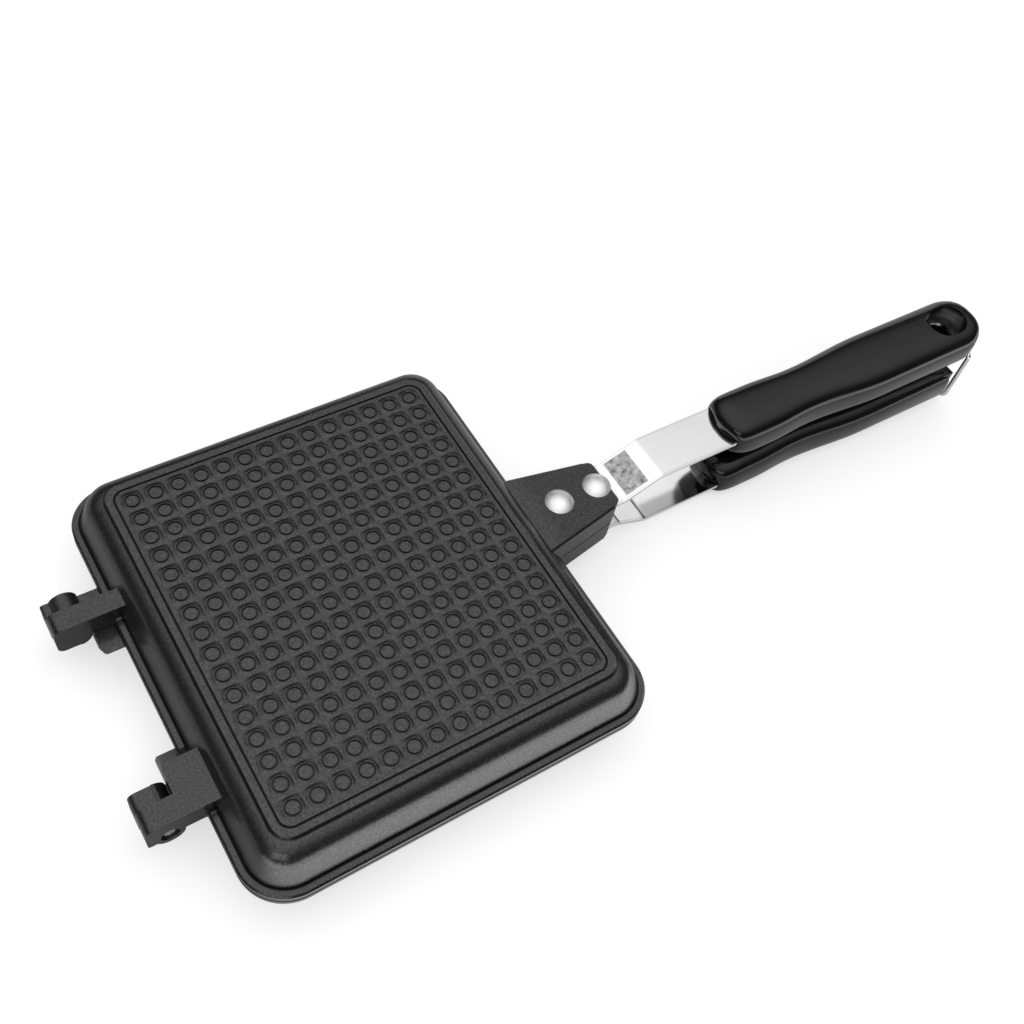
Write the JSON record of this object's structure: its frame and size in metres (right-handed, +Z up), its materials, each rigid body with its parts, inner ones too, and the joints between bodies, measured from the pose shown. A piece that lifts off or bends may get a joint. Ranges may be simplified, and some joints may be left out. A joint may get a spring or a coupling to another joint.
{
  "type": "pie iron",
  "caption": "Double-sided pie iron: two rectangular non-stick pans with dotted faces, hinged at one end, with riveted steel straps, black grips and a wire latch.",
  "frame": {"origin": "centre of the outer face of the lower pan, the face it stands on", "axes": "+X along the handles, away from the hinge; +Y to the left as seen from the hinge end towards the grips; +Z up, from the lower pan to the upper pan"},
  "size_m": [0.3787, 0.1604, 0.042],
  "materials": {
    "coated_casting": "matte",
    "strap_steel": "satin",
    "rivet_metal": "polished",
    "pin_steel": "satin",
    "black_grip": "gloss",
    "screw_steel": "polished",
    "bail_wire": "polished"
  },
  "bodies": {
    "base": {"lower_pan": "coated_casting", "hinge_pin_near": "pin_steel", "lower_strap": "strap_steel", "lower_rivet_inner": "rivet_metal", "lower_rivet_outer": "rivet_metal", "lower_grip": "black_grip", "lower_grip_screw": "screw_steel"},
    "lid": {"upper_pan": "coated_casting", "hinge_pin_far": "pin_steel", "upper_strap": "strap_steel", "upper_rivet_inner": "rivet_metal", "upper_rivet_outer": "rivet_metal", "upper_grip": "black_grip", "upper_grip_screw": "screw_steel"},
    "bail": {"latch_bail": "bail_wire"}
  },
  "joints": [
    {"name": "lid_hinge", "type": "hinge", "parent": "base", "child": "lid", "pos_m": [-0.084, 0, 0.0172], "axis": [0, -1, 0], "range_deg": [0, 90]},
    {"name": "bail_hinge", "type": "hinge", "parent": "lid", "child": "bail", "pos_m": [0.2817, 0, 0.0237], "axis": [0, -1, 0], "range_deg": [-2, 95]}
  ]
}
